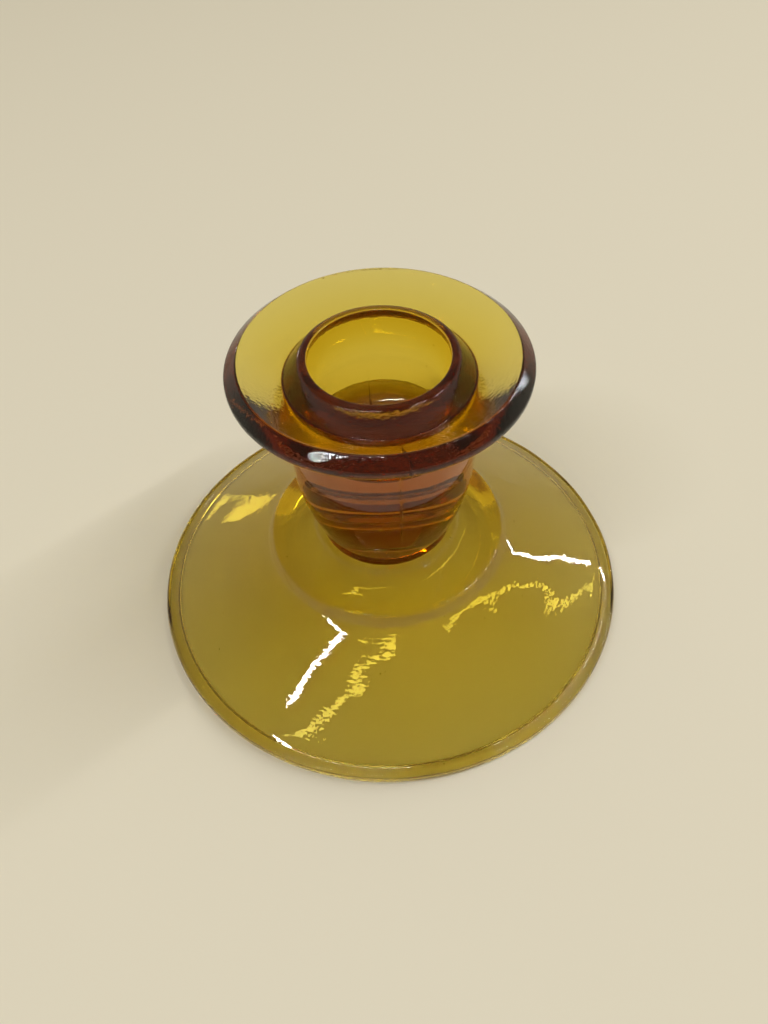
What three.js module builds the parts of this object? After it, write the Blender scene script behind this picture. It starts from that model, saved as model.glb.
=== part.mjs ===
// Low pressed-glass candlestick: a wide conical foot with a raised centre, a joining wafer,
// a candle cup with a blind tapered socket, and a drip flange round the mouth of the cup.
// Every member is a body of revolution about Z. Millimetres, +Z up, origin on the table
// under the centre of the foot. The members are fused glass to glass in the real thing;
// here each keeps a fine gap to its neighbour.
import * as THREE from 'three';

const TURN_STEPS = 64;
const FILLET_STEPS = 4;
const JOINT_GAP = 0.3;

// Foot
const FOOT_RADIUS = 51;
const FOOT_RIM_THICKNESS = 3.4;
const REST_RING_WIDTH = 1.8;
const SKIRT_RISE = 13.6;
const SKIRT_RIM_WALL = 2.8;
const SKIRT_TOP_WALL = 4;
const STEP_RADIUS = 24.9;
const STEP_RISE = 2.6;
const STEP_EDGE_FILLET = 1.8;
const STEP_FOOT_FILLET = 1.6;
const CENTRE_CROWN = 1.2;
const CENTRE_WALL = 1.2;
const HOLLOW_FILLET = 28;
const SEAT_MARGIN = 1.2;
const SEAT_RISE = 0.6;
const SEAT_FILLET = 0.5;

// Joining wafer
const WAFER_SETBACK = 0.45;
const WAFER_THICKNESS = 2.4;
const WAFER_EDGE_FILLET = 1;

// Candle cup
const CUP_RADIUS = 18;
const CUP_HEIGHT = 40.8;
const CUP_TAPER_HEIGHT = 19;
const CUP_TAPER_RADIUS = 50;
const CUP_TAPER_STEPS = 8;
const CUP_BASE_FILLET = 0.8;
const LIP_THICKNESS = 1.5;
const LIP_INNER_FILLET = 0.35;
const LIP_OUTER_FILLET = 1.1;
const COLLAR_HEIGHT = 4.1;
const SOCKET_DEPTH = 19.8;
const SOCKET_TOP_RADIUS = 12.8;
const SOCKET_DRAFT = 2.4;
const SOCKET_FLOOR_FILLET = 6;

// Drip flange
const FLANGE_RADIUS = 27.5;
const FLANGE_RIM_THICKNESS = 4.8;
const FLANGE_RIM_ABOVE_LIP = 0.8;
const FLANGE_CREST_FILLET = 0.5;
const FLANGE_BEVEL_WIDTH = 2.4;
const FLANGE_BEVEL_DROP = 1.9;
const FLANGE_EDGE_FILLET = 1.2;
const FLANGE_HEEL_WIDTH = 1.9;
const FLANGE_HEEL_RISE = 1.7;
const FLANGE_HEEL_FILLET = 1.5;
const FLANGE_WALL = 7.3;
const FLANGE_ROOT_LAND = 0.6;
const FLANGE_ROOT_FILLET = 5;

// Heights and radii that follow from the sizes above
const stepFootHeight = FOOT_RIM_THICKNESS + SKIRT_RISE;
const stepHeight = stepFootHeight + STEP_RISE;
const taperSweep = Math.asin(CUP_TAPER_HEIGHT / CUP_TAPER_RADIUS);
const cupBaseRadius = CUP_RADIUS - CUP_TAPER_RADIUS * (1 - Math.cos(taperSweep));
const waferRadius = cupBaseRadius - WAFER_SETBACK;
const seatRadius = waferRadius + SEAT_MARGIN;
const seatHeight = stepHeight + CENTRE_CROWN + SEAT_RISE;
const waferBase = seatHeight + JOINT_GAP;
const cupBase = waferBase + WAFER_THICKNESS + JOINT_GAP;
const lipHeight = cupBase + CUP_HEIGHT;
const collarBase = lipHeight - COLLAR_HEIGHT;
const flangeTop = lipHeight + FLANGE_RIM_ABOVE_LIP;

const material = (colour, roughness) =>
  new THREE.MeshStandardMaterial({ color: colour, roughness, metalness: 0 });

// Points of the arc of the given radius that rounds the corner at b between a and c.
function filletArc(a, b, c, radius) {
  const toA = a.clone().sub(b);
  const toC = c.clone().sub(b);
  const half = toA.angleTo(toC) / 2;
  const reach = Math.min(radius / Math.tan(half), toA.length() * 0.49, toC.length() * 0.49);
  const start = b.clone().addScaledVector(toA.normalize(), reach);
  const end = b.clone().addScaledVector(toC.normalize(), reach);
  const middle = toA.add(toC).normalize();
  const centre = b.clone().addScaledVector(middle, reach / Math.cos(half));
  const from = start.clone().sub(centre);
  const sweep = Math.atan2(from.cross(end.clone().sub(centre)), from.dot(end.clone().sub(centre)));
  const points = [];
  for (let i = 0; i <= FILLET_STEPS; i += 1) {
    points.push(start.clone().rotateAround(centre, (sweep * i) / FILLET_STEPS));
  }
  return points;
}

// An outline in (radius, height) from corners [radius, height, fillet].
function outline(corners, closed) {
  const at = corners.map(([r, z]) => new THREE.Vector2(r, z));
  const count = at.length;
  const points = [];
  corners.forEach(([, , fillet], i) => {
    if (fillet) {
      points.push(...filletArc(at[(i + count - 1) % count], at[i], at[(i + 1) % count], fillet));
    } else {
      points.push(at[i]);
    }
  });
  if (closed) {
    points.push(points[0].clone());
  }
  return points;
}

// A body of revolution about Z.
function turned(name, points, colour, roughness) {
  const geometry = new THREE.LatheGeometry(points, TURN_STEPS);
  geometry.rotateX(Math.PI / 2);
  const mesh = new THREE.Mesh(geometry, material(colour, roughness));
  mesh.name = name;
  return mesh;
}

// Conical skirt with a rounded rim, hollow beneath, and a raised centre with the wafer's seat.
function foot() {
  const rimRound = FOOT_RIM_THICKNESS / 2;
  const skirtFootRadius = FOOT_RADIUS - rimRound;
  const skirtTopRadius = STEP_RADIUS + STEP_FOOT_FILLET / 2;
  const skirtWidth = skirtFootRadius - skirtTopRadius;
  const steepness = Math.hypot(SKIRT_RISE, skirtWidth) / skirtWidth;
  // The hollow's cone runs from one wall below the skirt's foot to another below its top.
  const hollowFootHeight = FOOT_RIM_THICKNESS - SKIRT_RIM_WALL * steepness;
  const hollowRise = stepFootHeight - SKIRT_TOP_WALL * steepness - hollowFootHeight;
  const hollowHeightAt = (r) => hollowFootHeight + (hollowRise * (skirtFootRadius - r)) / skirtWidth;
  const hollowRadiusAt = (z) => skirtFootRadius - ((z - hollowFootHeight) * skirtWidth) / hollowRise;
  const hollowTop = stepHeight - CENTRE_WALL;
  const restInner = skirtFootRadius - REST_RING_WIDTH;
  const hollowMouthRadius = Math.min(restInner, hollowRadiusAt(0));
  const hollowMouthHeight = Math.max(0, hollowHeightAt(restInner));
  const corners = [
    [0, hollowTop],
    [hollowRadiusAt(hollowTop), hollowTop, HOLLOW_FILLET],
    [hollowMouthRadius, hollowMouthHeight, rimRound],
    [restInner, 0],
    [FOOT_RADIUS, 0, rimRound],
    [FOOT_RADIUS, FOOT_RIM_THICKNESS, rimRound],
    [skirtFootRadius, FOOT_RIM_THICKNESS, rimRound],
    [skirtTopRadius, stepFootHeight, STEP_FOOT_FILLET],
    [STEP_RADIUS, stepHeight, STEP_EDGE_FILLET],
    [seatRadius + SEAT_FILLET, stepHeight + CENTRE_CROWN, SEAT_FILLET],
    [seatRadius, seatHeight],
    [0, seatHeight],
  ];
  return turned('foot', outline(corners, false), 0xc9a92a, 0.06);
}

// Thin disc of glass that joins the foot to the cup.
function joiningWafer() {
  const corners = [
    [0, waferBase],
    [waferRadius, waferBase, WAFER_EDGE_FILLET],
    [waferRadius, waferBase + WAFER_THICKNESS, WAFER_EDGE_FILLET],
    [0, waferBase + WAFER_THICKNESS],
  ];
  return turned('joining_wafer', outline(corners, false), 0xa85f12, 0.06);
}

// Cup with a long curved taper below, a sloped collar and rounded lip above, and a blind socket.
function candleCup() {
  const taperTop = cupBase + CUP_TAPER_HEIGHT;
  const taperCentre = CUP_RADIUS - CUP_TAPER_RADIUS;
  const taper = [];
  for (let i = 1; i <= CUP_TAPER_STEPS; i += 1) {
    const angle = taperSweep * (1 - i / CUP_TAPER_STEPS);
    taper.push([
      taperCentre + CUP_TAPER_RADIUS * Math.cos(angle),
      taperTop - CUP_TAPER_RADIUS * Math.sin(angle),
    ]);
  }
  const floorHeight = lipHeight - SOCKET_DEPTH;
  const corners = [
    [0, cupBase],
    [cupBaseRadius, cupBase, CUP_BASE_FILLET],
    ...taper,
    [CUP_RADIUS, collarBase],
    [SOCKET_TOP_RADIUS + LIP_THICKNESS, lipHeight, LIP_OUTER_FILLET],
    [SOCKET_TOP_RADIUS, lipHeight, LIP_INNER_FILLET],
    [SOCKET_TOP_RADIUS - SOCKET_DRAFT, floorHeight, SOCKET_FLOOR_FILLET],
    [0, floorHeight],
  ];
  return turned('candle_cup', outline(corners, false), 0x9a5a0c, 0.06);
}

// Dished flange that surrounds the collar. Its thick rim has a crisp crest, a bevel outside it
// and a sloped heel below.
function dripFlange() {
  const inner = CUP_RADIUS + JOINT_GAP;
  const rootBottom = collarBase - FLANGE_WALL;
  const rimBottom = flangeTop - FLANGE_RIM_THICKNESS;
  const corners = [
    [inner, rootBottom],
    [inner + FLANGE_ROOT_LAND, rootBottom, FLANGE_ROOT_FILLET],
    [FLANGE_RADIUS - FLANGE_HEEL_WIDTH, rimBottom, FLANGE_HEEL_FILLET],
    [FLANGE_RADIUS, rimBottom + FLANGE_HEEL_RISE, FLANGE_EDGE_FILLET],
    [FLANGE_RADIUS, flangeTop - FLANGE_BEVEL_DROP, FLANGE_EDGE_FILLET],
    [FLANGE_RADIUS - FLANGE_BEVEL_WIDTH, flangeTop, FLANGE_CREST_FILLET],
    [inner, collarBase],
  ];
  return turned('drip_flange', outline(corners, true), 0xd0a93a, 0.06);
}

const candlestick = new THREE.Group();
candlestick.add(foot(), joiningWafer(), candleCup(), dripFlange());

export default candlestick;
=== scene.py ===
"""Looks of a low amber pressed-glass candlestick: one body of glass, its seeds and a plain stage."""
import math
from typing import NamedTuple

import bpy
from bpy.props import FloatProperty, FloatVectorProperty, IntProperty, PointerProperty
from mathutils import Matrix, Vector


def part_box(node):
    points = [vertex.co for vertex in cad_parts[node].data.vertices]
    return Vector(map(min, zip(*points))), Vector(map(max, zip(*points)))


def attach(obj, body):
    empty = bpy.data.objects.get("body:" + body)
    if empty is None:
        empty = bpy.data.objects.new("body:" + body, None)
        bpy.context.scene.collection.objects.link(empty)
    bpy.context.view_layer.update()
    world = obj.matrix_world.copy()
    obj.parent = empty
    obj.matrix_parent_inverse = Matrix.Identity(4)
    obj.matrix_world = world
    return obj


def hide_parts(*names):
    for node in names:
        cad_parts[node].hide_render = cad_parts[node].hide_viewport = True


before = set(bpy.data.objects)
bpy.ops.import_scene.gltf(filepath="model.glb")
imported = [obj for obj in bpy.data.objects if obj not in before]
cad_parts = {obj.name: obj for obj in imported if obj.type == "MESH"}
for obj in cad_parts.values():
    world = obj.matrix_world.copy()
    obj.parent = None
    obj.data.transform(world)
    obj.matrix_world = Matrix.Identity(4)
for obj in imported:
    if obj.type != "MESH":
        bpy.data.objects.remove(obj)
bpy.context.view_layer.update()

bl_info = {
    "name": "Pressed Glass Candlestick",
    "version": (1, 0, 0),
    "blender": (4, 5, 0),
    "location": "View3D > Sidebar > Candlestick",
    "description": "Builds a low amber pressed-glass candlestick and a plain stage for it",
    "category": "Object",
}

MM = 0.001
FOOT_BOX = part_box("foot")
WAFER_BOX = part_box("joining_wafer")
CUP_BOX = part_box("candle_cup")
FLANGE_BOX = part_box("drip_flange")


def length(name, description, default, **limits):
    """A length in metres."""
    return FloatProperty(
        name=name, description=description, default=default,
        unit="LENGTH", subtype="DISTANCE", precision=5, **limits)


def angle(name, description, default):
    """An angle in radians."""
    return FloatProperty(
        name=name, description=description, default=default, unit="ROTATION", subtype="ANGLE")


def colour(name, description, default):
    """A linear colour."""
    return FloatVectorProperty(
        name=name, description=description, default=default,
        subtype="COLOR", size=3, min=0.0, max=1.0)


# ---------------------------------------------------------------- settings


class FootSettings(bpy.types.PropertyGroup):
    """Sizes of the conical foot and its raised centre."""

    radius: length("Radius", "Outer radius of the foot", FOOT_BOX[1].x)
    rim_thickness: length("Rim thickness", "Height of the rounded rim", 3.4 * MM)
    rest_ring: length("Resting ring", "Width of the flat ring that the foot stands on", 1.8 * MM)
    skirt_rise: length("Skirt rise", "Height that the cone climbs from rim to step", 13.6 * MM)
    rim_wall: length("Rim wall", "Wall of the cone at the rim", 2.8 * MM)
    top_wall: length("Top wall", "Wall of the cone at the step", 4.0 * MM)
    step_radius: length("Step radius", "Radius of the raised centre", 24.9 * MM)
    step_rise: length("Step rise", "Height of the step round the raised centre", 2.6 * MM)
    crown: length("Crown", "Rise of the raised centre from its edge to the seat", 1.2 * MM)
    centre_wall: length("Centre wall", "Glass from the hollow's top up to the step's edge", 1.2 * MM)
    hollow_fillet: length("Hollow fillet", "Radius round the hollow's top", 28.0 * MM)
    seat_margin: length("Seat margin", "Width of the seat outside the wafer", 1.2 * MM)
    seat_rise: length("Seat rise", "Height of the seat's little step", 0.6 * MM)


class CupSettings(bpy.types.PropertyGroup):
    """Sizes of the candle cup, its collar and its socket."""

    taper_height: length("Taper height", "Height of the curved taper below the wall", 19.0 * MM)
    taper_radius: length("Taper radius", "Radius of the taper's curve", 50.0 * MM)
    joint_groove: length("Joint groove", "Depth of the grooves beside the wafer", 0.8 * MM)
    collar_radius: length("Collar radius", "Radius at the foot of the collar", 17.4 * MM)
    collar_height: length("Collar height", "Height of the collar above the flange", 4.1 * MM)
    lip_thickness: length("Lip thickness", "Thickness of the rounded lip", 1.5 * MM)
    socket_radius: length("Socket radius", "Radius of the socket below its lip", 12.8 * MM)
    socket_draft: length("Socket draft", "How much narrower the socket is at its floor", 2.4 * MM)
    socket_depth: length("Socket depth", "Depth of the socket from the lip", 19.8 * MM)


class FlangeSettings(bpy.types.PropertyGroup):
    """Sizes of the drip flange."""

    rim_thickness: length("Rim thickness", "Height of the rim", 4.8 * MM)
    bevel_width: length("Bevel width", "Width of the bevel outside the crest", 2.4 * MM)
    bevel_drop: length("Bevel drop", "Height of the bevel outside the crest", 1.9 * MM)
    heel_width: length("Heel width", "Width of the sloped heel below the rim", 1.9 * MM)
    heel_rise: length("Heel rise", "Height of the sloped heel below the rim", 1.7 * MM)
    wall: length("Wall", "Glass below the foot of the collar", 7.3 * MM)


class SurfaceSettings(bpy.types.PropertyGroup):
    """The mould seam, the waves and the fine relief that pressing left on the glass."""

    columns: IntProperty(name="Columns", description="Steps round the axis", default=352, min=64)
    crowding: FloatProperty(
        name="Crowding", description="How far the steps gather at the seams", default=0.8, max=0.95)
    seam_azimuth: angle(
        "Seam azimuth", "Where the mould halves met, measured from +X", math.radians(-81.0))
    seam_height: length("Seam height", "Height of the mould seam", 0.22 * MM)
    seam_width: length("Seam width", "Half width of the mould seam", 0.17 * MM)
    wave_length: length("Wave length", "Length of the slow waves in the surface", 11.0 * MM)
    wave_height: length("Wave height", "Height of the slow waves in the foot", 0.13 * MM)
    upper_calm: FloatProperty(
        name="Upper calm", description="Share of the waves above the foot", default=0.12)
    ripple_length: length("Ripple length", "Length of the fine ripples", 1.2 * MM)
    ripple_height: length("Ripple height", "Height of the fine ripples", 0.009 * MM)
    ring_length: length("Ring length", "Distance between the fine rings on the foot", 0.8 * MM)
    ring_height: length("Ring height", "Height of the fine rings on the foot", 0.0004 * MM)
    peel_length: length("Peel length", "Size of the flange's orange peel", 0.6 * MM)
    peel_height: length("Peel height", "Height of the flange's orange peel", 0.034 * MM)


class GlassSettings(bpy.types.PropertyGroup):
    """Optical values of the amber glass."""

    refraction: FloatProperty(
        name="Refraction", description="Index of refraction", default=1.51, min=1.0, max=2.0)
    tint: colour(
        "Tint", "What the glass lets through, the rest being absorbed", (0.942, 0.873, 0.29))
    density: FloatProperty(
        name="Density", description="Absorption in one metre of glass", default=500.0, min=0.0)
    polish: FloatProperty(
        name="Polish", description="Roughness of the polished surface", default=0.0, max=1.0)
    scuff: FloatProperty(
        name="Scuff", description="Roughness where the glass is rubbed", default=0.22, max=1.0)


class SeedSettings(bpy.types.PropertyGroup):
    """The small bubbles that glassmakers call seeds."""

    density: FloatProperty(
        name="Density", description="Seeds under one square metre of surface", default=3200.0)
    smallest: length("Smallest", "Radius of the smallest seed", 0.05 * MM)
    largest: length("Largest", "Radius of the largest seed", 0.16 * MM)
    shallowest: length("Shallowest", "Least depth of a seed below the surface", 0.4 * MM)
    deepest: length("Deepest", "Greatest depth of a seed below the surface", 0.8 * MM)
    random_seed: IntProperty(name="Random seed", description="Fixes the scatter", default=7)


class StageSettings(bpy.types.PropertyGroup):
    """Floor, light and camera."""

    floor_radius: length("Floor radius", "Radius of the floor", 2.5)
    floor_colour: colour("Floor colour", "Colour of the floor", (0.82, 0.775, 0.65))
    horizon: colour("Horizon", "Light from the horizon", (0.62, 0.56, 0.43))
    zenith: colour("Zenith", "Light from above", (0.22, 0.19, 0.12))
    tube_height: length("Tube height", "Height of the tube lamps above the floor", 1.2)
    tube_width: length("Tube width", "Width of the tube lamps", 0.03)
    tube_glow: FloatProperty(
        name="Tube glow", description="Radiance of the tube lamps", default=52.0, min=0.0)
    window_glow: FloatProperty(
        name="Window glow", description="Radiance of the window", default=7.0, min=0.0)
    view_distance: length("View distance", "Distance of the camera from its target", 181.8 * MM)
    view_elevation: angle("View elevation", "Tilt of the camera below level", math.radians(50.0))
    view_azimuth: angle("View azimuth", "Turn of the camera about Z", math.radians(0.225))
    view_roll: angle("View roll", "Roll of the camera", math.radians(-2.96))
    target_height: length("Target height", "Height that the camera looks at", 22.2 * MM)
    target_side: length("Target side", "Offset of the point the camera looks at", -0.5 * MM)
    lens: FloatProperty(
        name="Lens", description="Focal length for a 36 mm sensor", default=29.88, unit="CAMERA")


SETTINGS = {
    "candlestick_foot": FootSettings,
    "candlestick_cup": CupSettings,
    "candlestick_flange": FlangeSettings,
    "candlestick_surface": SurfaceSettings,
    "candlestick_glass": GlassSettings,
    "candlestick_seeds": SeedSettings,
    "candlestick_stage": StageSettings,
}


# ---------------------------------------------------------------- node helpers


def add(tree, kind, inputs=None, **settings):
    """A new node. Each input is a value, or a socket that it is linked to."""
    node = tree.nodes.new(kind)
    for name, value in settings.items():
        setattr(node, name, value)
    for key, value in (inputs or {}).items():
        connect(tree, node.inputs[key], value)
    return node


def connect(tree, socket, value):
    """Gives a socket a link or a plain value."""
    if isinstance(value, bpy.types.NodeSocket):
        tree.links.new(value, socket)
    else:
        socket.default_value = value


def calc(tree, operation, *values):
    """The output of a Math node."""
    node = tree.nodes.new("ShaderNodeMath")
    node.operation = operation
    for socket, value in zip(node.inputs, values):
        connect(tree, socket, value)
    return node.outputs[0]


def scaled(tree, vector, factor):
    """A vector times a number."""
    return add(
        tree, "ShaderNodeVectorMath", {"Vector": vector, "Scale": factor},
        operation="SCALE").outputs["Vector"]


def ramp(tree, value, low, high):
    """A smooth 0 to 1 as value goes from low to high."""
    return add(
        tree, "ShaderNodeMapRange", {"Value": value, "From Min": low, "From Max": high},
        interpolation_type="SMOOTHSTEP").outputs["Result"]


def geometry_tree(name, sockets):
    """A geometry node tree with a Geometry in and out, and the named inputs."""
    tree = bpy.data.node_groups.new(name, "GeometryNodeTree")
    tree.interface.new_socket("Geometry", in_out="OUTPUT", socket_type="NodeSocketGeometry")
    tree.interface.new_socket("Geometry", in_out="INPUT", socket_type="NodeSocketGeometry")
    for label, kind in sockets.items():
        tree.interface.new_socket(label, in_out="INPUT", socket_type=f"NodeSocket{kind}")
    return tree


def made_by_nodes(name, mesh, tree, values):
    """A plain object whose mesh is what the tree makes of the given mesh."""
    worker = bpy.data.objects.new(name + "_worker", mesh)
    bpy.context.scene.collection.objects.link(worker)
    modifier = worker.modifiers.new(tree.name, "NODES")
    modifier.node_group = tree
    identifiers = {item.name: item.identifier for item in tree.interface.items_tree
                   if item.in_out == "INPUT"}
    for label, value in values.items():
        modifier[identifiers[label]] = value
    evaluated = worker.evaluated_get(bpy.context.evaluated_depsgraph_get())
    made = bpy.data.meshes.new_from_object(evaluated)
    bpy.data.objects.remove(worker)
    made.name = name
    piece = bpy.data.objects.new(name, made)
    bpy.context.scene.collection.objects.link(piece)
    return piece


# ---------------------------------------------------------------- outline of the glass


ARC_STEP = math.radians(11.0)
STRAIGHT_STEP = 1.9 * MM
LARGEST_FILLET_SHARE = 0.49      # of a straight, so that two fillets never meet on it


class Corner(NamedTuple):
    """A corner of the outline: radius, height, fillet, and 1 where the mould seam runs."""

    r: float
    z: float
    fillet: float = 0.0
    seam: float = 0.0


def fillet_points(before, corner, after):
    """Points of the arc that rounds a corner of the outline."""
    middle = Vector((corner.r, corner.z))
    back = Vector((before.r, before.z)) - middle
    ahead = Vector((after.r, after.z)) - middle
    half = back.angle(ahead) / 2
    longest = min(back.length, ahead.length) * LARGEST_FILLET_SHARE
    reach = min(corner.fillet / math.tan(half), longest)
    back.normalize()
    ahead.normalize()
    centre = middle + (back + ahead).normalized() * (reach / math.cos(half))
    start = middle + back * reach - centre
    sweep = -start.angle_signed(middle + ahead * reach - centre)
    steps = max(2, math.ceil(abs(sweep) / ARC_STEP))
    points = []
    for i in range(steps + 1):
        turned = Matrix.Rotation(sweep * i / steps, 2) @ start
        points.append((centre + turned, corner.seam))
    return points


def outline_points(corners):
    """The outline as points with their seam values, close enough for the waves to show."""
    coarse = []
    for i, corner in enumerate(corners):
        if corner.fillet:
            coarse += fillet_points(corners[i - 1], corner, corners[i + 1])
        else:
            coarse.append((Vector((corner.r, corner.z)), corner.seam))
    points = [coarse[0]]
    for (start, seam_from), (end, seam_to) in zip(coarse, coarse[1:]):
        steps = max(1, math.ceil((end - start).length / STRAIGHT_STEP))
        for i in range(1, steps + 1):
            points.append((start.lerp(end, i / steps), min(seam_from, seam_to)))
    return points


def foot_corners(foot):
    """From the axis under the foot, round the rim and up to the wafer's seat."""
    rim_round = foot.rim_thickness / 2
    rest_edge_round = 0.4 * MM
    step_round = 1.1 * MM
    step_slant = 0.8 * MM
    seat_foot_round = 0.5 * MM
    seat_edge_round = 0.3 * MM
    skirt_foot = foot.radius - rim_round
    skirt_top = foot.step_radius + step_slant
    width = skirt_foot - skirt_top
    steepness = math.hypot(foot.skirt_rise, width) / width
    step_foot = foot.rim_thickness + foot.skirt_rise
    step_top = step_foot + foot.step_rise
    hollow_foot = foot.rim_thickness - foot.rim_wall * steepness
    hollow_rise = step_foot - foot.top_wall * steepness - hollow_foot
    hollow_top = step_top - foot.centre_wall
    hollow_radius = skirt_foot - (hollow_top - hollow_foot) * width / hollow_rise
    rest_inner = skirt_foot - foot.rest_ring
    mouth = hollow_foot + hollow_rise * foot.rest_ring / width
    seat_radius = WAFER_BOX[1].x + foot.seat_margin
    return [
        Corner(0.0, hollow_top),
        Corner(hollow_radius, hollow_top, foot.hollow_fillet),
        Corner(rest_inner, mouth, rim_round),
        Corner(rest_inner, 0.0, rest_edge_round),
        Corner(foot.radius, 0.0, rim_round),
        Corner(foot.radius, foot.rim_thickness, rim_round),
        Corner(skirt_foot, foot.rim_thickness, rim_round),
        Corner(skirt_top, step_foot, step_round),
        Corner(foot.step_radius, step_top, step_round),
        Corner(seat_radius + seat_foot_round, step_top + foot.crown, seat_foot_round),
        Corner(seat_radius, FOOT_BOX[1].z, seat_edge_round),
    ]


def wafer_corners(cup):
    """The wafer's rounded edge between the two grooves where the glass was joined."""
    edge_round = 1.0 * MM
    groove_round = 0.15 * MM
    groove_half_width = 0.1 * MM
    radius = WAFER_BOX[1].x
    groove = radius - cup.joint_groove
    below = (FOOT_BOX[1].z + WAFER_BOX[0].z) / 2
    above = (WAFER_BOX[1].z + CUP_BOX[0].z) / 2
    return [
        Corner(groove, below, groove_round),
        Corner(radius, below + groove_half_width, edge_round),
        Corner(radius, above - groove_half_width, edge_round),
        Corner(groove, above, groove_round),
    ]


def cup_wall_corners(cup, flange):
    """The cup's taper and wall, which carry the mould seam, up to the flange's root."""
    taper_steps = 10
    base_round = 0.8 * MM
    root_round = 5.0 * MM
    wall = CUP_BOX[1].x
    base = CUP_BOX[0].z
    sweep = math.asin(cup.taper_height / cup.taper_radius)
    centre = wall - cup.taper_radius
    top = base + cup.taper_height
    corners = [Corner(wall - cup.taper_radius * (1 - math.cos(sweep)), base, base_round)]
    for i in range(1, taper_steps + 1):
        turn = sweep * (1 - i / taper_steps)
        corners.append(Corner(
            centre + cup.taper_radius * math.cos(turn),
            top - cup.taper_radius * math.sin(turn), seam=1.0))
    root = CUP_BOX[1].z - cup.collar_height - flange.wall
    corners.append(Corner(wall, root, root_round, seam=1.0))
    return corners


def flange_corners(flange):
    """Out along the flange's underside, round its rim and in to the crest."""
    heel_round = 1.5 * MM
    edge_round = 1.2 * MM
    bevel_round = 0.7 * MM
    crest_round = 0.5 * MM
    top = FLANGE_BOX[1].z
    outer = FLANGE_BOX[1].x
    bottom = top - flange.rim_thickness
    return [
        Corner(outer - flange.heel_width, bottom, heel_round, seam=1.0),
        Corner(outer, bottom + flange.heel_rise, edge_round, seam=1.0),
        Corner(outer, top - flange.bevel_drop, bevel_round, seam=1.0),
        Corner(outer - flange.bevel_width, top, crest_round),
    ]


def socket_corners(cup):
    """Down the dish, over the lip and down the socket to the axis."""
    collar_round = 0.4 * MM
    lip_outer_round = 1.1 * MM
    lip_inner_round = 0.35 * MM
    floor_round = 6.0 * MM
    lip = CUP_BOX[1].z
    floor = lip - cup.socket_depth
    return [
        Corner(cup.collar_radius, lip - cup.collar_height, collar_round),
        Corner(cup.socket_radius + cup.lip_thickness, lip, lip_outer_round),
        Corner(cup.socket_radius, lip, lip_inner_round),
        Corner(cup.socket_radius - cup.socket_draft, floor, floor_round),
        Corner(0.0, floor),
    ]


def outline_mesh(scene):
    """The outline as a chain of vertices in the XZ plane, with its seam values."""
    cup = scene.candlestick_cup
    flange = scene.candlestick_flange
    corners = foot_corners(scene.candlestick_foot) + wafer_corners(cup)
    corners += cup_wall_corners(cup, flange) + flange_corners(flange) + socket_corners(cup)
    points = outline_points(corners)
    mesh = bpy.data.meshes.new("outline")
    mesh.from_pydata(
        [(point.x, 0.0, point.y) for point, seam in points],
        [(i, i + 1) for i in range(len(points) - 1)], [])
    mesh.attributes.new("seam", "FLOAT", "POINT").data.foreach_set(
        "value", [seam for point, seam in points])
    return mesh


# ---------------------------------------------------------------- geometry node trees


WELD_DISTANCE = 0.001 * MM       # closes the ring of columns and the two poles
SEAM_GAPS_PER_WAVE = 5.0         # how much finer the seam's gaps are than the slow waves
SEAM_GAP_NOISE = (0.15, 0.42)    # noise at which the seam is gone, and is whole
FAR_SEAM_SHARE = 0.35            # share of the seam's height that is left on the far side
SEAM_CHANGEOVER = 1.0 * MM       # half width of the change from one side to the other
CALM_FROM = 1.4                  # height, in heights of the foot, where the waves are calm


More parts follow.
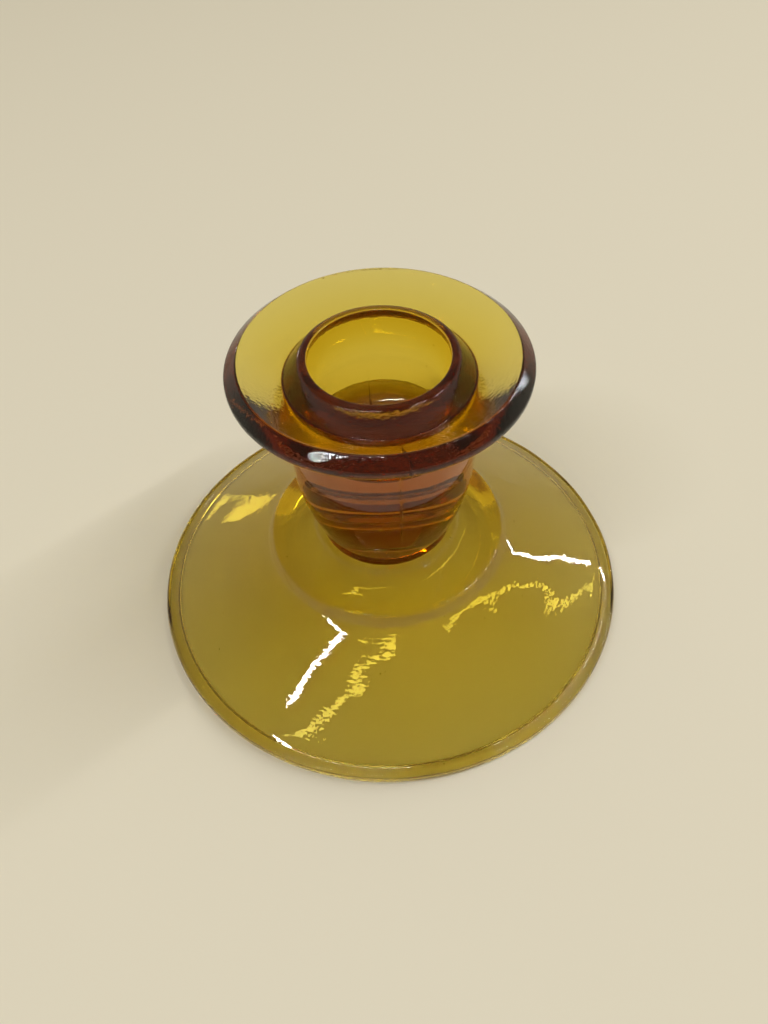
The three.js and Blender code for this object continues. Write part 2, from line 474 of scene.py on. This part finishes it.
def turning_tree():
    """Turns an outline about Z, with columns crowded at the two mould seams, then presses
    the seams and the slow waves into the surface."""
    tree = geometry_tree("turned_glass", {
        "Columns": "Int", "Crowding": "Float", "Seam azimuth": "Float", "Seam height": "Float",
        "Seam width": "Float", "Wave length": "Float", "Wave height": "Float",
        "Upper calm": "Float", "Foot top": "Float", "Material": "Material"})
    given = add(tree, "NodeGroupInput").outputs
    outline = given["Geometry"]
    index = add(tree, "GeometryNodeInputIndex").outputs[0]
    position = add(tree, "GeometryNodeInputPosition").outputs[0]
    count = add(
        tree, "GeometryNodeAttributeDomainSize", {"Geometry": outline},
        component="MESH").outputs["Point Count"]
    grid = add(tree, "GeometryNodeMeshGrid", {
        "Vertices X": calc(tree, "ADD", given["Columns"], 1.0), "Vertices Y": count})
    row = calc(tree, "MODULO", index, count)
    column = calc(tree, "FLOOR", calc(tree, "DIVIDE", calc(tree, "ADD", index, 0.5), count))
    even = calc(tree, "MULTIPLY", calc(tree, "DIVIDE", column, given["Columns"]), math.tau)
    swing = calc(tree, "SINE", calc(
        tree, "MULTIPLY", calc(tree, "SUBTRACT", even, given["Seam azimuth"]), 2.0))
    crowd = calc(tree, "MULTIPLY", calc(tree, "MULTIPLY", given["Crowding"], 0.5), swing)
    azimuth = calc(tree, "SUBTRACT", even, crowd)
    along = add(tree, "GeometryNodeSampleIndex", {
        "Geometry": outline, "Value": position, "Index": row}, data_type="FLOAT_VECTOR")
    seam_named = add(
        tree, "GeometryNodeInputNamedAttribute", {"Name": "seam"}, data_type="FLOAT")
    seam_there = add(tree, "GeometryNodeSampleIndex", {
        "Geometry": outline, "Value": seam_named.outputs["Attribute"], "Index": row},
        data_type="FLOAT")
    place = add(tree, "ShaderNodeSeparateXYZ", {0: along.outputs["Value"]}).outputs
    turned = add(tree, "ShaderNodeCombineXYZ", {
        "X": calc(tree, "MULTIPLY", place["X"], calc(tree, "COSINE", azimuth)),
        "Y": calc(tree, "MULTIPLY", place["X"], calc(tree, "SINE", azimuth)),
        "Z": place["Z"]}).outputs[0]
    placed = add(tree, "GeometryNodeSetPosition", {
        "Geometry": grid.outputs["Mesh"], "Position": turned})
    marked = add(tree, "GeometryNodeStoreNamedAttribute", {
        "Geometry": placed.outputs[0], "Name": "seam", "Value": seam_there.outputs["Value"]},
        data_type="FLOAT", domain="POINT")
    merged = add(tree, "GeometryNodeMergeByDistance", {
        "Geometry": marked.outputs[0], "Distance": WELD_DISTANCE})
    pressed = add(tree, "GeometryNodeSetPosition", {
        "Geometry": merged.outputs[0], "Offset": pressing_offset(tree, given, position)})
    plain = add(tree, "GeometryNodeRemoveAttribute", {
        "Geometry": pressed.outputs[0], "Name": "seam"})
    smooth = add(tree, "GeometryNodeSetShadeSmooth", {"Geometry": plain.outputs[0]})
    finish_tree(tree, smooth.outputs[0], given["Material"])
    return tree


def pressing_offset(tree, given, position):
    """How far the seam ridges and the slow waves move the surface, along its normal."""
    normal = add(tree, "GeometryNodeInputNormal").outputs["Normal"]
    seam = add(
        tree, "GeometryNodeInputNamedAttribute", {"Name": "seam"},
        data_type="FLOAT").outputs["Attribute"]
    place = add(tree, "ShaderNodeSeparateXYZ", {0: position}).outputs
    off_plane = calc(
        tree, "SUBTRACT",
        calc(tree, "MULTIPLY", place["X"], calc(tree, "SINE", given["Seam azimuth"])),
        calc(tree, "MULTIPLY", place["Y"], calc(tree, "COSINE", given["Seam azimuth"])))
    share = calc(tree, "DIVIDE", off_plane, given["Seam width"])
    share_squared = calc(tree, "MULTIPLY", share, share)
    bell = calc(tree, "EXPONENT", calc(tree, "MULTIPLY", share_squared, -1.0))
    fineness = calc(tree, "DIVIDE", SEAM_GAPS_PER_WAVE, given["Wave length"])
    worn = add(tree, "ShaderNodeTexNoise", {
        "Vector": scaled(tree, position, fineness), "Scale": 1.0, "Detail": 1.0})
    broken = ramp(tree, worn.outputs[0], *SEAM_GAP_NOISE)
    ahead = calc(
        tree, "ADD",
        calc(tree, "MULTIPLY", place["X"], calc(tree, "COSINE", given["Seam azimuth"])),
        calc(tree, "MULTIPLY", place["Y"], calc(tree, "SINE", given["Seam azimuth"])))
    near_side = ramp(tree, ahead, -SEAM_CHANGEOVER, SEAM_CHANGEOVER)
    nearer = calc(tree, "MULTIPLY_ADD", near_side, 1.0 - FAR_SEAM_SHARE, FAR_SEAM_SHARE)
    strength = calc(tree, "MULTIPLY", calc(tree, "MULTIPLY", broken, nearer), given["Seam height"])
    ridge = calc(tree, "MULTIPLY", calc(tree, "MULTIPLY", bell, seam), strength)
    noise = add(tree, "ShaderNodeTexNoise", {
        "Vector": scaled(tree, position, calc(tree, "DIVIDE", 1.0, given["Wave length"])),
        "Scale": 1.0, "Detail": 1.0})
    swell = calc(tree, "MULTIPLY", calc(tree, "SUBTRACT", noise.outputs[0], 0.5), 2.0)
    calm_height = calc(tree, "MULTIPLY", given["Foot top"], CALM_FROM)
    upper = ramp(tree, place["Z"], given["Foot top"], calm_height)
    calm = calc(tree, "MULTIPLY_ADD", upper, calc(tree, "SUBTRACT", given["Upper calm"], 1.0), 1.0)
    wave = calc(tree, "MULTIPLY", calc(tree, "MULTIPLY", swell, given["Wave height"]), calm)
    return scaled(tree, normal, calc(tree, "ADD", ridge, wave))


def seed_tree():
    """Scatters small bubbles just below the surface of a mesh."""
    tree = geometry_tree("scattered_seeds", {
        "Density": "Float", "Smallest": "Float", "Largest": "Float", "Shallowest": "Float",
        "Deepest": "Float", "Seed": "Int", "Material": "Material"})
    given = add(tree, "NodeGroupInput").outputs
    scatter = add(tree, "GeometryNodeDistributePointsOnFaces", {
        "Mesh": given["Geometry"], "Density": given["Density"], "Seed": given["Seed"]},
        distribute_method="RANDOM")
    depth = add(tree, "FunctionNodeRandomValue", {
        "Min": given["Shallowest"], "Max": given["Deepest"], "Seed": given["Seed"]},
        data_type="FLOAT")
    inward = scaled(tree, scatter.outputs["Normal"], calc(
        tree, "MULTIPLY", value_output(depth), -1.0))
    sunk = add(tree, "GeometryNodeSetPosition", {
        "Geometry": scatter.outputs["Points"], "Offset": inward})
    ball = add(tree, "GeometryNodeMeshIcoSphere", {"Radius": 1.0, "Subdivisions": 2})
    radius = add(tree, "FunctionNodeRandomValue", {
        "Min": given["Smallest"], "Max": given["Largest"],
        "Seed": calc(tree, "ADD", given["Seed"], 1.0)}, data_type="FLOAT")
    balls = add(tree, "GeometryNodeInstanceOnPoints", {
        "Points": sunk.outputs[0], "Instance": ball.outputs["Mesh"],
        "Scale": value_output(radius)})
    smooth = add(tree, "GeometryNodeSetShadeSmooth", {"Geometry": balls.outputs[0]})
    finish_tree(tree, smooth.outputs[0], given["Material"])
    return tree


def value_output(node):
    """The one output of a Random Value node that is in use."""
    return next(output for output in node.outputs if output.enabled)


def finish_tree(tree, geometry, material):
    """Ends a tree with plain mesh in the given material."""
    real = add(tree, "GeometryNodeRealizeInstances", {"Geometry": geometry})
    painted = add(tree, "GeometryNodeSetMaterial", {
        "Geometry": real.outputs[0], "Material": material})
    add(tree, "NodeGroupOutput", {"Geometry": painted.outputs[0]})


# ---------------------------------------------------------------- materials


def material_tree(name):
    """A material with an empty node tree, and that tree."""
    material = bpy.data.materials.new(name)
    material.use_nodes = True
    material.node_tree.nodes.clear()
    return material, material.node_tree


def noise_at(tree, vector, size, detail):
    """Noise whose features are about the given size in metres."""
    return add(tree, "ShaderNodeTexNoise", {
        "Vector": vector, "Scale": 1.0 / size, "Detail": detail}).outputs[0]


def surface_relief(tree, here, place, surface):
    """Fine relief: ripples, calmer on the cup's wall, rings on the foot, and orange peel on
    the flange and, fainter, in the socket."""
    peel_fades = (CUP_BOX[1].z - 5.0 * MM, CUP_BOX[1].z - 3.0 * MM)
    socket_edge = (12.5 * MM, 12.9 * MM)
    socket_peel_share = 0.2
    wall_ripple_share = 0.2
    wander_length = 3.0 * MM
    wander_turn = 6.0
    ripple = calc(tree, "MULTIPLY", noise_at(tree, here, surface.ripple_length, 1.0),
                  surface.ripple_height)
    peel = calc(tree, "MULTIPLY", noise_at(tree, here, surface.peel_length, 1.0),
                surface.peel_height)
    on_flange = ramp(tree, place["Z"], *peel_fades)
    radius = add(tree, "ShaderNodeVectorMath", {
        0: add(tree, "ShaderNodeCombineXYZ", {"X": place["X"], "Y": place["Y"]}).outputs[0]},
        operation="LENGTH").outputs["Value"]
    outside = ramp(tree, radius, *socket_edge)
    inside = calc(tree, "SUBTRACT", 1.0, outside)
    above = ramp(tree, place["Z"], FOOT_BOX[1].z, WAFER_BOX[1].z)
    on_wall = calc(tree, "MULTIPLY", calc(tree, "MULTIPLY", above, outside),
                   calc(tree, "SUBTRACT", 1.0, on_flange))
    in_socket = calc(tree, "MULTIPLY", inside, above)
    peel_share = calc(tree, "MAXIMUM", on_flange,
                      calc(tree, "MULTIPLY", in_socket, socket_peel_share))
    calm = calc(tree, "MULTIPLY_ADD", on_wall, wall_ripple_share - 1.0, 1.0)
    wander = calc(tree, "MULTIPLY", noise_at(tree, here, wander_length, 1.0), wander_turn)
    phase = calc(tree, "MULTIPLY_ADD", radius, math.tau / surface.ring_length, wander)
    rings = calc(tree, "MULTIPLY", calc(tree, "SINE", phase), surface.ring_height)
    on_foot = calc(tree, "MULTIPLY", rings, calc(tree, "SUBTRACT", 1.0, above))
    return calc(tree, "ADD", calc(tree, "MULTIPLY_ADD", ripple, calm, on_foot),
                calc(tree, "MULTIPLY", peel, peel_share))


def scuffing(tree, here, place, glass):
    """Roughness of the rubbed patches on the resting ring."""
    rubbed_heights = (0.05 * MM, 0.5 * MM)
    patch_size = 1.5 * MM
    patch_noise = (0.42, 0.6)
    rubbed = calc(tree, "SUBTRACT", 1.0, ramp(tree, place["Z"], *rubbed_heights))
    patchy = ramp(tree, noise_at(tree, here, patch_size, 4.0), *patch_noise)
    return calc(tree, "MULTIPLY", calc(tree, "MULTIPLY", rubbed, patchy), glass.scuff)


def amber_glass(glass, surface):
    """Amber glass, coloured through its depth, with fine relief and a scuffed resting ring."""
    material, tree = material_tree("amber_glass")
    here = add(tree, "ShaderNodeTexCoord").outputs["Object"]
    place = add(tree, "ShaderNodeSeparateXYZ", {0: here}).outputs
    bump = add(tree, "ShaderNodeBump", {
        "Strength": 1.0, "Distance": 1.0, "Height": surface_relief(tree, here, place, surface)})
    scuffs = scuffing(tree, here, place, glass)
    shader = add(tree, "ShaderNodeBsdfPrincipled", {
        "Base Color": (1.0, 1.0, 1.0, 1.0), "Metallic": 0.0,
        "Roughness": calc(tree, "ADD", scuffs, glass.polish),
        "IOR": glass.refraction, "Transmission Weight": 1.0,
        "Normal": bump.outputs["Normal"]})
    volume = add(tree, "ShaderNodeVolumeAbsorption", {
        "Color": (*glass.tint, 1.0), "Density": glass.density})
    add(tree, "ShaderNodeOutputMaterial", {
        "Surface": shader.outputs[0], "Volume": volume.outputs[0]})
    return material


def seed_glass(glass):
    """The skin of a bubble inside the glass, tinted from place to place."""
    tinted = (0.82, 0.74, 0.5, 1.0)
    clear = (1.0, 0.98, 0.9, 1.0)
    tint_patch = 2.0 * MM
    material, tree = material_tree("seed_skin")
    here = add(tree, "ShaderNodeTexCoord").outputs["Object"]
    shade = add(tree, "ShaderNodeMix", {
        "Factor": noise_at(tree, here, tint_patch, 2.0), "A": tinted, "B": clear},
        data_type="RGBA")
    shader = add(tree, "ShaderNodeBsdfPrincipled", {
        "Metallic": 0.0, "Roughness": 0.02, "IOR": glass.refraction, "Transmission Weight": 1.0})
    tree.links.new(shade.outputs["Result"], shader.inputs["Base Color"])
    add(tree, "ShaderNodeOutputMaterial", {"Surface": shader.outputs[0]})
    return material


def floor_finish(stage):
    """Plain pale matt floor."""
    material, tree = material_tree("pale_floor")
    shader = add(tree, "ShaderNodeBsdfPrincipled", {
        "Base Color": (*stage.floor_colour, 1.0), "Roughness": 0.9, "Specular IOR Level": 0.1})
    add(tree, "ShaderNodeOutputMaterial", {"Surface": shader.outputs[0]})
    return material


# ---------------------------------------------------------------- operators


class CANDLESTICK_OT_glass_body(bpy.types.Operator):
    """Makes the candlestick's one body of glass, from the foot to the drip flange"""

    bl_idname = "candlestick.glass_body"
    bl_label = "Glass Body"

    def execute(self, context):
        scene = context.scene
        surface = scene.candlestick_surface
        glass = amber_glass(scene.candlestick_glass, surface)
        body = made_by_nodes("glass_body", outline_mesh(scene), turning_tree(), {
            "Columns": surface.columns,
            "Crowding": surface.crowding,
            "Seam azimuth": surface.seam_azimuth,
            "Seam height": surface.seam_height,
            "Seam width": surface.seam_width,
            "Wave length": surface.wave_length,
            "Wave height": surface.wave_height,
            "Upper calm": surface.upper_calm,
            "Foot top": FOOT_BOX[1].z,
            "Material": glass,
        })
        if not body.data.polygons:
            raise RuntimeError("the glass body came out empty")
        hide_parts("foot", "joining_wafer", "candle_cup", "drip_flange")
        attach(body, "root")
        return {"FINISHED"}


class CANDLESTICK_OT_seeds(bpy.types.Operator):
    """Scatters the seeds, the small bubbles just under the surface of the glass"""

    bl_idname = "candlestick.seeds"
    bl_label = "Seeds"

    def execute(self, context):
        scene = context.scene
        body = bpy.data.objects.get("glass_body")
        if body is None:
            raise RuntimeError("make the glass body before its seeds")
        settings = scene.candlestick_seeds
        seeds = made_by_nodes("seeds", body.data.copy(), seed_tree(), {
            "Density": settings.density,
            "Smallest": settings.smallest,
            "Largest": settings.largest,
            "Shallowest": settings.shallowest,
            "Deepest": settings.deepest,
            "Seed": settings.random_seed,
            "Material": seed_glass(scene.candlestick_glass),
        })
        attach(seeds, "root")
        return {"FINISHED"}


class CANDLESTICK_OT_stage(bpy.types.Operator):
    """Makes the plain floor, the soft light and the camera"""

    bl_idname = "candlestick.stage"
    bl_label = "Stage"

    def execute(self, context):
        stage = context.scene.candlestick_stage
        make_floor(stage)
        make_sky(stage)
        make_window(stage)
        make_tubes(stage)
        make_camera(stage)
        set_light_paths(context.scene)
        return {"FINISHED"}


def make_floor(stage):
    """A round floor just under the resting ring."""
    drop = 0.05 * MM
    sides = 128
    rim = [(stage.floor_radius * math.cos(math.tau * i / sides),
            stage.floor_radius * math.sin(math.tau * i / sides), -drop) for i in range(sides)]
    mesh = bpy.data.meshes.new("floor")
    mesh.from_pydata(rim, [], [list(range(sides))])
    mesh.materials.append(floor_finish(stage))
    floor = bpy.data.objects.new("floor", mesh)
    bpy.context.scene.collection.objects.link(floor)


def make_sky(stage):
    """A pale horizon under a dimmer sky."""
    fades_from = math.sin(math.radians(15.0))
    fades_to = math.sin(math.radians(45.0))
    world = bpy.data.worlds.new("soft_sky")
    world.use_nodes = True
    tree = world.node_tree
    tree.nodes.clear()
    direction = add(tree, "ShaderNodeTexCoord").outputs["Generated"]
    rise = add(tree, "ShaderNodeSeparateXYZ", {0: direction}).outputs["Z"]
    shade = add(tree, "ShaderNodeMix", {
        "Factor": ramp(tree, rise, fades_from, fades_to)}, data_type="RGBA")
    colours = [socket for socket in shade.inputs if socket.type == "RGBA"]
    colours[0].default_value = (*stage.horizon, 1.0)
    colours[1].default_value = (*stage.zenith, 1.0)
    mixed = next(socket for socket in shade.outputs if socket.type == "RGBA")
    sky = add(tree, "ShaderNodeBackground", {"Color": mixed})
    add(tree, "ShaderNodeOutputWorld", {"Surface": sky.outputs[0]})
    bpy.context.scene.world = world


def area_lamp(name, length_along, width, glow):
    """A rectangular lamp that glows evenly, still to be placed."""
    power_per_glow = 4.0
    data = bpy.data.lights.new(name, "AREA")
    data.shape = "RECTANGLE"
    data.size = length_along
    data.size_y = width
    data.energy = power_per_glow * glow * data.size * data.size_y
    lamp = bpy.data.objects.new(name, data)
    bpy.context.scene.collection.objects.link(lamp)
    return lamp


def tube_lamp(stage, name, start, end):
    """A long lamp on the ceiling, between two points given in heights of the ceiling."""
    ends = [Vector((x, y, 1.0)) * stage.tube_height for x, y in (start, end)]
    middle = (ends[0] + ends[1]) / 2
    span = ends[1] - ends[0]
    lamp = area_lamp(name, span.length, stage.tube_width, stage.tube_glow)
    along = span.normalized()
    back = (middle - along * middle.dot(along)).normalized()
    turn = Matrix((along, back.cross(along), back)).transposed().to_4x4()
    lamp.matrix_world = Matrix.Translation(middle) @ turn


def make_window(stage):
    """A small square window, low behind the foot and to its left."""
    azimuth = math.radians(124.5)
    rise = math.radians(9.5)
    distance = 3.0
    side = 0.22
    towards = Vector((
        math.cos(azimuth) * math.cos(rise), math.sin(azimuth) * math.cos(rise), math.sin(rise)))
    lamp = area_lamp("window", side, side, stage.window_glow)
    turn = towards.to_track_quat("Z", "Y").to_matrix().to_4x4()
    lamp.matrix_world = Matrix.Translation(towards * distance) @ turn


def make_tubes(stage):
    """Two tube lamps on the ceiling, whose reflections are the streaks on the foot."""
    tube_lamp(stage, "left_tube", (0.05, -0.37), (-0.82, -0.50))
    tube_lamp(stage, "right_tube", (0.42, -0.30), (3.30, 2.05))


def make_camera(stage):
    """The camera, held a little rolled, above and in front of the foot."""
    data = bpy.data.cameras.new("camera")
    data.lens = stage.lens
    data.clip_start = 0.01
    camera = bpy.data.objects.new("camera", data)
    bpy.context.scene.collection.objects.link(camera)
    target = Vector((stage.target_side, 0.0, stage.target_height))
    level = math.cos(stage.view_elevation)
    back = Vector((
        math.sin(stage.view_azimuth) * level, -math.cos(stage.view_azimuth) * level,
        math.sin(stage.view_elevation)))
    aim = (-back).to_track_quat("-Z", "Y").to_matrix().to_4x4()
    roll = Matrix.Rotation(stage.view_roll, 4, "Z")
    camera.matrix_world = Matrix.Translation(target + back * stage.view_distance) @ aim @ roll
    bpy.context.scene.camera = camera


def set_light_paths(scene):
    """Plain colour, and enough bounces for light to find its way out of the glass."""
    through_glass = 32
    off_glass = 16
    scene.view_settings.view_transform = "Standard"
    scene.cycles.max_bounces = through_glass
    scene.cycles.transmission_bounces = through_glass
    scene.cycles.glossy_bounces = off_glass


# ---------------------------------------------------------------- panel and registration


PIECES = (CANDLESTICK_OT_glass_body, CANDLESTICK_OT_seeds, CANDLESTICK_OT_stage)


class CANDLESTICK_PT_build(bpy.types.Panel):
    """Lists the pieces and their settings"""

    bl_label = "Candlestick"
    bl_idname = "CANDLESTICK_PT_build"
    bl_space_type = "VIEW_3D"
    bl_region_type = "UI"
    bl_category = "Candlestick"

    def draw(self, context):
        for operator in PIECES:
            self.layout.operator(operator.bl_idname)
        for name, group in SETTINGS.items():
            box = self.layout.box()
            box.label(text=group.__doc__)
            for setting in group.__annotations__:
                box.prop(getattr(context.scene, name), setting)


def register():
    """Registers the settings, the operators and the panel."""
    for name, group in SETTINGS.items():
        bpy.utils.register_class(group)
        setattr(bpy.types.Scene, name, PointerProperty(type=group))
    for operator in PIECES:
        bpy.utils.register_class(operator)
    bpy.utils.register_class(CANDLESTICK_PT_build)


def unregister():
    """Takes back what register did."""
    bpy.utils.unregister_class(CANDLESTICK_PT_build)
    for operator in reversed(PIECES):
        bpy.utils.unregister_class(operator)
    for name, group in reversed(SETTINGS.items()):
        delattr(bpy.types.Scene, name)
        bpy.utils.unregister_class(group)


def main():
    """Builds the pieces and the stage."""
    register()
    bpy.ops.candlestick.glass_body()
    bpy.ops.candlestick.seeds()
    bpy.ops.candlestick.stage()


if __name__ == "__main__":
    main()
